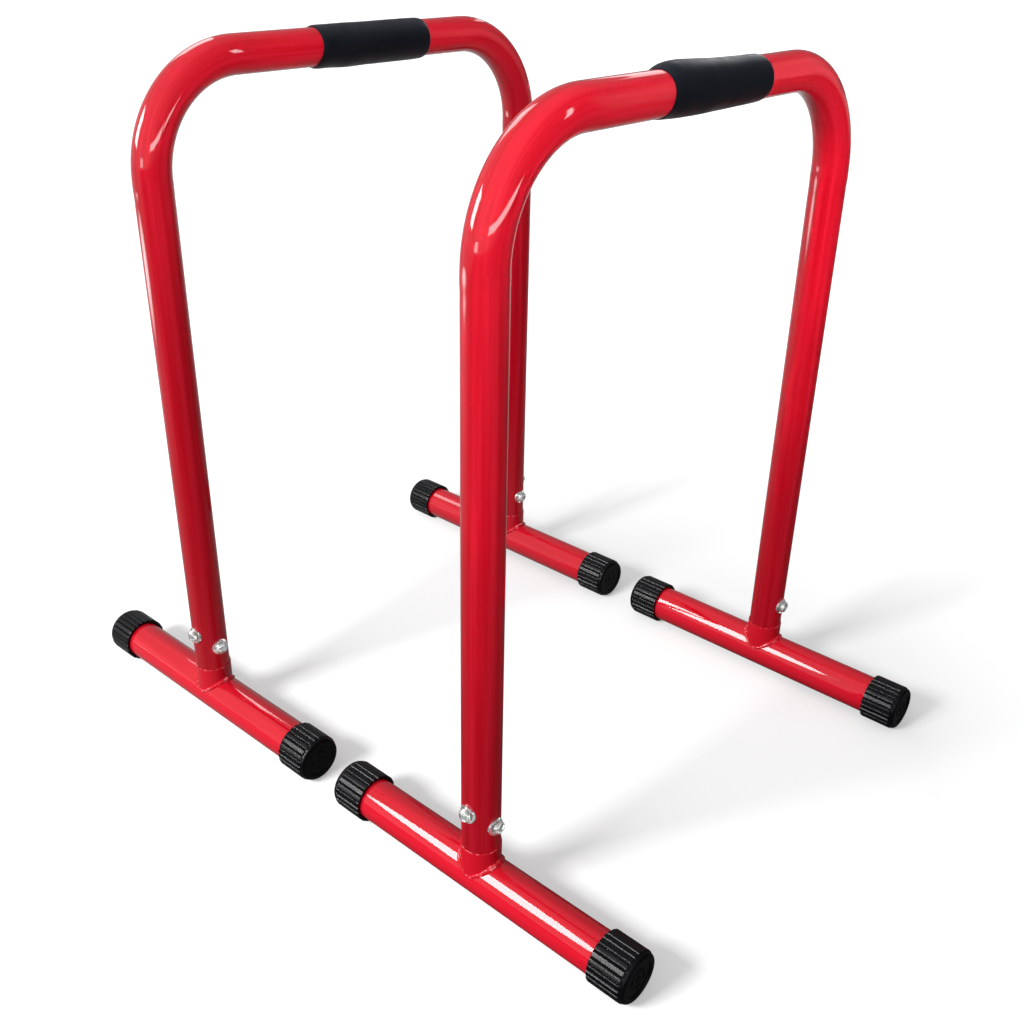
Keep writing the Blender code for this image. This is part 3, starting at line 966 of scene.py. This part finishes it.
class PARALLETTES_OT_caps(Operator):
    """Mould the eight ribbed end caps"""
    bl_idname = "parallettes.caps"
    bl_label = "End Caps"

    def execute(self, context):
        scene = context.scene
        pattern = self.mould(scene.parallette_cap, scene.parallette_tubes.foot_diameter / 2,
                             cap_high.y - cap_low.y)
        lowest = min(point.co.x for point in pattern.data.vertices)
        upright = Matrix.Translation((0, 0, -lowest - foot_z))
        lay = (Matrix.Translation((0, cap_low.y - bar_y["right"], 0))
               @ Matrix.Rotation(-math.pi / 2, 4, "X"))
        places = {f"{name}_{end}_end_cap": matrix @ upright @ Matrix.Rotation(turn, 4, "Z") @ lay
                  for name, matrix in foot_places("{bar}_{post}").items()
                  for end, turn in (("front", math.pi), ("back", 0))}
        furnish(pattern, places, "black_cap_plastic", "_end_cap", "_cap")
        return {"FINISHED"}

    def mould(self, cap, foot, length):
        """The cap along +Z, from its open mouth at 0 to its closed end."""
        crest, rim = cap.diameter / 2, cap.rim
        groove = crest - cap.rib_height
        body = groove + 0.00015
        bore = foot + 0.0003
        run_out = length - rim - 0.0006
        floor = length - CAP_FLOOR
        inside = [(0, floor), (bore - 0.0005, floor), (bore, floor - 0.0005), (bore, 0.0006),
                  (bore + 0.0006, 0.0)]
        outside = [(crest - 0.0004, 0.0), (crest, 0.0005), (crest, 0.006),
                   (crest, run_out - 0.0018), (crest - 0.0003, run_out - 0.0008), (body, run_out)]
        corner = [(body - rim + rim * math.cos(angle), length - rim + rim * math.sin(angle))
                  for angle in (math.radians(15 * step) for step in range(1, 7))]
        face = [(radius, length - depth) for radius, depth in CAP_FACE]
        sides, phase = cap.ribs * LINES_PER_RIB, math.pi / cap.ribs
        pattern = turn_profile("cap_pattern", sides, inside + outside + corner + face, phase)

        def line_of(at):
            """Which of a rib's lines a point is on."""
            return round((math.atan2(at.y, at.x) - phase) / math.tau * sides) % LINES_PER_RIB

        for radius, height in outside[:-1]:
            for line, share in RIB_SHAPE.items():
                pick_points(lambda at: abs(at.z - height) < NEAR / 10 and line_of(at) == line
                            and math.hypot(at.x, at.y) >= groove)
                resize((groove + (radius - groove) * share) / radius, (0, 0, height))
        seal()
        mask = pattern.data.attributes.new("rib_crest", "FLOAT", "POINT")
        for point, value in zip(pattern.data.vertices, mask.data):
            reach = math.hypot(point.co.x, point.co.y)
            value.value = min(max((reach - groove) / cap.rib_height, 0), 1)
        smooth(pattern, 50)
        return pattern


class PARALLETTES_OT_screws(Operator):
    """Turn the eight button-head screws and press their hexagon sockets"""
    bl_idname = "parallettes.screws"
    bl_label = "Button-Head Screws"

    def execute(self, context):
        size = context.scene.parallette_fastener
        head, seat = size.head_diameter / 2, washer_face + 0.0003
        top = seat + size.head_height
        corner = size.socket / math.sqrt(3)
        flat = corner + 0.0009
        crown = [(flat + (head - flat) * math.cos(angle),
                  seat + 0.0007 + (size.head_height - 0.0007) * math.sin(angle))
                 for angle in (math.radians(10 * step) for step in range(9))]
        pattern = turn_profile("screw_pattern", 48, [
            (0, seat - 0.0165), (SHANK - 0.0006, seat - 0.0165), (SHANK, seat - 0.0158),
            (SHANK, seat - 0.0002), (head - 0.0003, seat), (head, seat + 0.0003),
            *crown, (flat * 0.99, top), (0, top)])
        seal()
        socket = turn_profile("socket", 6, [
            (0, top - 0.0026), (corner, top - 0.0021), (corner, top - 0.0003),
            (corner + 0.0005, top + 0.0002), (corner + 0.0005, top + 0.002), (0, top + 0.002)])
        seal()
        cut(pattern, socket)
        smooth(pattern, 32)
        furnish(pattern, screw_places("{bar}_{post}_{side}_button_screw"), "bright_zinc_plate",
                "_button", "")
        return {"FINISHED"}


class PARALLETTES_OT_washers(Operator):
    """Press the eight saddle washers to the curve of the posts"""
    bl_idname = "parallettes.washers"
    bl_label = "Saddle Washers"

    def execute(self, context):
        size = context.scene.parallette_fastener
        post = context.scene.parallette_tubes.handle_diameter / 2
        pattern = turn_tube("washer_pattern", 64, HOLE, size.washer_diameter / 2, 0, 0.03)
        shell = turn_tube("shell", 96, post + 0.0002, washer_face, -0.02, 0.02)
        cut(pattern, put(shell, Matrix.Rotation(math.pi / 2, 4, "X")), "INTERSECT")
        round_edges(pattern, 0.0003, 2, 50)
        smooth(pattern, 35)
        furnish(pattern, screw_places("{bar}_{post}_{side}_saddle_washer"), "bright_zinc_plate",
                "_saddle", "")
        return {"FINISHED"}


class PARALLETTES_OT_inner_parts(Operator):
    """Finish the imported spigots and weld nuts, which the posts hide"""
    bl_idname = "parallettes.inner_parts"
    bl_label = "Spigots and Nuts"

    def execute(self, context):
        for name, node in frame["nodes"].items():
            if name.endswith(("_spigot", "_nut")):
                coat(node, "drawn_steel")
        return {"FINISHED"}


# The stage. Each lamp lights one set of pieces, so that a broad window on the tubes leaves the
# blacks deep.

FEET = ("*_foot", "*_riser_stub", "*_bead", "*_ridge")
BOLTS = ("*_button_screw", "*_saddle_washer")
RECEIVERS = {
    "handles": ("*_handle",),
    "feet": FEET,
    "right_feet": [f"right_{kind}" for kind in FEET],
    "left_feet": [f"left_{kind}" for kind in FEET],
    "caps": ("*_end_cap",),
    "grips": ("*_foam",),
    "bolts": BOLTS,
    "bright": ("*_handle", *BOLTS),
    "low_pieces": ("*_foam", "*_end_cap", *FEET, *BOLTS, "*_spigot", "*_nut"),
    "floor": ("studio_floor",),
}

# The sets that are too dull or too small to need a clean mirror image of their panels
DULL = ("caps", "grips", "bolts")

# The photograph's viewpoint: where the camera stands, its yaw from +X, its pitch below the
# horizon and its roll in degrees, and its focal length as a multiple of the picture's width
CAMERA_PLACE = (-0.8673, -0.7751, 0.8584)
CAMERA_TURN = (41.145532, 27.914275, 1.155198)
CAMERA_FOCAL = 1150.5 / 1024

# Where the key light comes from, as the azimuth from +X and the elevation in degrees
KEY_SIDE = (172, 38)

# The floor's width, which is also as far as the camera sees
FLOOR_SIZE = 60

# Panels that only the gloss mirrors: the pieces that each one lights, its radiance, the azimuth
# from +X and the elevation of its middle in degrees, its distance, width and height in metres
# and, where it needs them, the point that it faces, its roll in degrees and its shape
MIDDLE = (0, 0, 0.65)
PANELS = {
    "window": ("bright", 18, 132.5, 19, 5.9, 2.08, 2.08),
    "foot_window": ("right_feet", 20, 180, 41, 4.0, 1.5, 2.4, (0, 1.85, 0.03), 0, "ELLIPSE"),
    "left_foot_strip": ("left_feet", 6, 90, 45.3, 1.31, 0.4, 0.2, (0.1, 0.2, 0.07)),
    "cap_window": ("caps", 12, 180, 30, 4.0, 3.0, 3.0, (0, 1.9, 0.03)),
    "cap_strip": ("caps", 18, 180, 43, 4.0, 2.6, 0.35, (0, 1.7, 0.03)),
    "grip_window": ("grips", 2.7, 18, 20, 2.5, 0.8, 0.8),
    "low_strip_left": ("bright", 9, -128, 9, 3.6, 1.66, 0.31, MIDDLE, -6),
    "low_strip_right": ("bright", 9, -92, 5, 3.6, 3.06, 0.31, MIDDLE, -9),
    "narrow_strip": ("bright", 9, -55, 24, 3.6, 0.22, 1.1),
    "back_strip": ("bright", 4, 74, 38, 3.6, 1.14, 1.66),
    "far_strip": ("bright", 2.2, 24, 26, 3.6, 0.24, 1.6, MIDDLE, 45),
    "veil": ("bright", 0.32, -26, 11, 3.6, 2.1, 2.4),
    "bolt_tray": ("bolts", 0.9, 0, -90, 0.1, 2.0, 1.6, (0, 0, 0.11)),
    "edge_strip": ("bright", 7, 178, 3, 3.6, 0.88, 0.38),
}

# Lamps without a mirror image, given the same way: the one that draws the shadows, and those
# that lift the tubes, which end in the spread of their beam in degrees
FLOOR_KEY = ("floor", 1, 170.6, 35.2, 2.78, 0.8, 0.6, (0, 0, 0))
FILLS = {
    "rail_fill": ("handles", 1.7, -90, 8, 1.2, 1.0, 0.08, (-0.2, -0.215, 0.725), 18),
    "post_fill": ("handles", 0.7, -70, 20, 3.6, 2.0, 2.0, (0, 0, 0.4), 180),
    "high_key": ("handles", 5.6, 172, 38, 1.2, 0.6, 0.6, (-0.26, -0.45, 0.6), 180),
    "near_post_fill": ("handles", 0.8, -140, 5, 1.5, 0.15, 0.25, (-0.2615, -0.215, 0.5), 20),
    "far_post_fill": ("handles", 0.6, -140, 10, 1.5, 0.15, 0.25, (0.2615, -0.215, 0.42), 20),
    "far_top_fill": ("handles", 1.2, -140, 10, 1.5, 0.15, 0.25, (0.2615, -0.215, 0.54), 15),
    "foot_fill": ("feet", 5.2, 175, 8, 2.0, 1.5, 0.6, (0, 0, 0.03), 180),
}


class PARALLETTES_OT_stage(Operator):
    """Lay the pale floor, hang the lights and set the camera"""
    bl_idname = "parallettes.stage"
    bl_label = "Studio"

    def execute(self, context):
        stage = context.scene.parallette_stage
        self.camera(context)
        self.floor()
        self.surroundings(context, stage.ambient)
        self.key_light("key_light", stage.key * stage.low_share, stage.softness, "low_pieces")
        self.key_light("handle_key_light", stage.key * stage.handle_share, stage.softness,
                       "handles")
        self.hide_from_gloss(self.panel("floor_key", stage.floor_key, *FLOOR_KEY))
        for name, values in PANELS.items():
            lamp = self.panel(name, stage.panels, *values)
            lamp.visible_diffuse = False
            # A panel that is sampled for its mirror image hides the panels behind it
            lamp.data.cycles.use_multiple_importance_sampling = values[0] not in DULL
        for name, (*values, beam) in FILLS.items():
            lamp = self.panel(name, stage.fill, *values)
            lamp.data.spread = math.radians(beam)
            self.hide_from_gloss(lamp)
        context.scene.view_settings.view_transform = "Standard"
        return {"FINISHED"}

    def camera(self, context):
        """Stand the camera at the photograph's viewpoint."""
        yaw, pitch, roll = CAMERA_TURN
        forward, right = towards(yaw, -pitch), towards(yaw - 90, 0)
        turn = Matrix((right, right.cross(forward), -forward)).transposed().to_4x4()
        bpy.ops.object.camera_add()
        camera = context.object
        camera.name = "photograph_camera"
        camera.matrix_world = (Matrix.Translation(CAMERA_PLACE) @ turn
                               @ Matrix.Rotation(math.radians(roll), 4, "Z"))
        camera.data.lens = camera.data.sensor_width * CAMERA_FOCAL
        camera.data.clip_end = FLOOR_SIZE
        context.scene.camera = camera

    def floor(self):
        """A white floor that glows as painted light, more the further it lies from the feet, and
        fades into the background; the gloss sees it as darker.
        """
        bpy.ops.mesh.primitive_plane_add(size=FLOOR_SIZE, location=(0, 0, -0.0002))
        floor = bpy.context.object
        floor.name = floor.data.name = "studio_floor"
        material, tree, shader = make_material("pale_floor", {
            "Base Color": (0.53, 0.53, 0.53, 1), "Roughness": 1.0, "Specular IOR Level": 0.0,
            "Emission Color": (1, 1, 1, 1)})
        place = here(tree)
        # What the gloss sees: lighter towards the back, with a pool of light to the left
        back = measure(tree, "DOT_PRODUCT", place, towards(80, 0))
        rising = spread(tree, back, -0.2, 1.1, 0.06, 0.65)
        away = measure(tree, "DISTANCE", place, (-1.35, 1.9, 0))
        mirrored = maths(tree, "ADD", rising, spread(tree, away, 0.3, 0.7, 7.0, 0.0))
        # What the camera and the undersides see: a glow of painted light, dull round the feet and
        # white further off, where it fades the shadows out
        far = measure(tree, "DISTANCE", place, (-0.05, -0.1, 0))
        give(tree, shader.inputs["Emission Strength"], spread(tree, far, 0.45, 1.3, 0.33, 0.88))
        underside_glow = spread(tree, far, 0.5, 1.5, 0.0, 0.6)
        path = add_node(tree, "ShaderNodeLightPath").outputs
        glow = add_node(tree, "ShaderNodeEmission", {
            "Strength": mix_values(tree, path["Is Glossy Ray"], underside_glow, mirrored)})
        seen = add_node(tree, "ShaderNodeMixShader", {
            0: path["Is Camera Ray"], 1: glow.outputs[0], 2: shader.outputs[0]})
        give(tree, tree.nodes["Material Output"].inputs["Surface"], seen.outputs[0])
        floor.data.materials.append(material)

    def surroundings(self, context, ambient):
        """A soft room all round, lighter behind the window, and white behind the object."""
        world = bpy.data.worlds.new("studio")
        context.scene.world = world
        world.use_nodes = True
        tree = world.node_tree
        direction = add_node(tree, "ShaderNodeTexCoord").outputs["Generated"]
        side = measure(tree, "DOT_PRODUCT", direction, towards(150, 6))
        level = spread(tree, side, -1, 1, 0.05, 1.95)
        path = add_node(tree, "ShaderNodeLightPath").outputs
        share = mix_values(tree, path["Is Glossy Ray"], ambient, ambient * 0.7)
        lit = maths(tree, "MULTIPLY", level, share)
        background = tree.nodes["Background"].inputs
        background["Color"].default_value = (0.98, 0.99, 1.0, 1)
        give(tree, background["Strength"], mix_values(tree, path["Is Camera Ray"], lit, 1.2))

    def key_light(self, name, strength, softness, receiver):
        """A soft light from the window's side on one set of pieces."""
        bpy.ops.object.light_add(type="SUN")
        lamp = bpy.context.object
        lamp.name = lamp.data.name = name
        lamp.data.energy = strength
        lamp.data.angle = softness
        lamp.matrix_world = facing(towards(*KEY_SIDE))
        lamp.visible_glossy = False
        lamp.light_linking.receiver_collection = self.gather(receiver)

    def panel(self, name, strength, receiver, radiance, azimuth, elevation, distance, width,
              height, target=MIDDLE, roll=0, shape="RECTANGLE"):
        """A soft panel that faces a point and lights one set of pieces."""
        direction = towards(azimuth, elevation)
        bpy.ops.object.light_add(type="AREA")
        lamp = bpy.context.object
        lamp.name = lamp.data.name = f"{name}_light"
        lamp.data.shape = shape
        lamp.data.size, lamp.data.size_y = width, height
        area = width * height * (math.pi / 4 if shape == "ELLIPSE" else 1)
        lamp.data.energy = radiance * strength * math.pi * area
        lamp.matrix_world = (Matrix.Translation(Vector(target) + direction * distance)
                             @ facing(direction) @ Matrix.Rotation(math.radians(roll), 4, "Z"))
        lamp.visible_camera = False
        lamp.light_linking.receiver_collection = self.gather(receiver)
        return lamp

    def hide_from_gloss(self, lamp):
        """Keep a lamp out of the gloss, where it would hide the lamps behind it as well."""
        lamp.visible_glossy = False
        lamp.data.cycles.use_multiple_importance_sampling = False

    def gather(self, receiver):
        """The collection of the pieces whose names match a receiver's patterns."""
        group = bpy.data.collections.get(receiver)
        if group:
            return group
        group = bpy.data.collections.new(receiver)
        for thing in bpy.context.scene.objects:
            if thing.type == "MESH" and any(
                    fnmatch.fnmatch(thing.name, pattern) for pattern in RECEIVERS[receiver]):
                group.objects.link(thing)
        if not group.objects:
            raise RuntimeError(f"none of the {receiver} has been modelled yet")
        return group


class PARALLETTES_PT_sidebar(Panel):
    """Lists the steps and the sizes in the 3D view's sidebar"""
    bl_label = "Parallette Bars"
    bl_idname = "PARALLETTES_PT_sidebar"
    bl_space_type = "VIEW_3D"
    bl_region_type = "UI"
    bl_category = "Parallettes"

    def draw(self, context):
        steps = self.layout.column(align=True)
        for operator in STEPS:
            steps.operator(operator.bl_idname)
        for owner in GROUPS:
            box = self.layout.box()
            group = getattr(context.scene, owner)
            for label in group.__annotations__:
                box.prop(group, label)


STEPS = (PARALLETTES_OT_handles, PARALLETTES_OT_grips, PARALLETTES_OT_feet,
         PARALLETTES_OT_risers, PARALLETTES_OT_caps, PARALLETTES_OT_screws,
         PARALLETTES_OT_washers, PARALLETTES_OT_inner_parts, PARALLETTES_OT_stage)
GROUPS = {"parallette_tubes": ParalletteTubes, "parallette_grip": ParalletteGrip,
          "parallette_cap": ParalletteCap, "parallette_fastener": ParalletteFastener,
          "parallette_finish": ParalletteFinish, "parallette_stage": ParalletteStage}


def register():
    for kind in (*GROUPS.values(), *STEPS, PARALLETTES_PT_sidebar):
        bpy.utils.register_class(kind)
    for owner, kind in GROUPS.items():
        setattr(bpy.types.Scene, owner, PointerProperty(type=kind))


def unregister():
    for owner in GROUPS:
        delattr(bpy.types.Scene, owner)
    for kind in reversed((*GROUPS.values(), *STEPS, PARALLETTES_PT_sidebar)):
        bpy.utils.unregister_class(kind)


def main():
    register()
    for step in STEPS:
        _, name = step.bl_idname.split(".")
        getattr(bpy.ops.parallettes, name)()


if __name__ == "__main__":
    main()
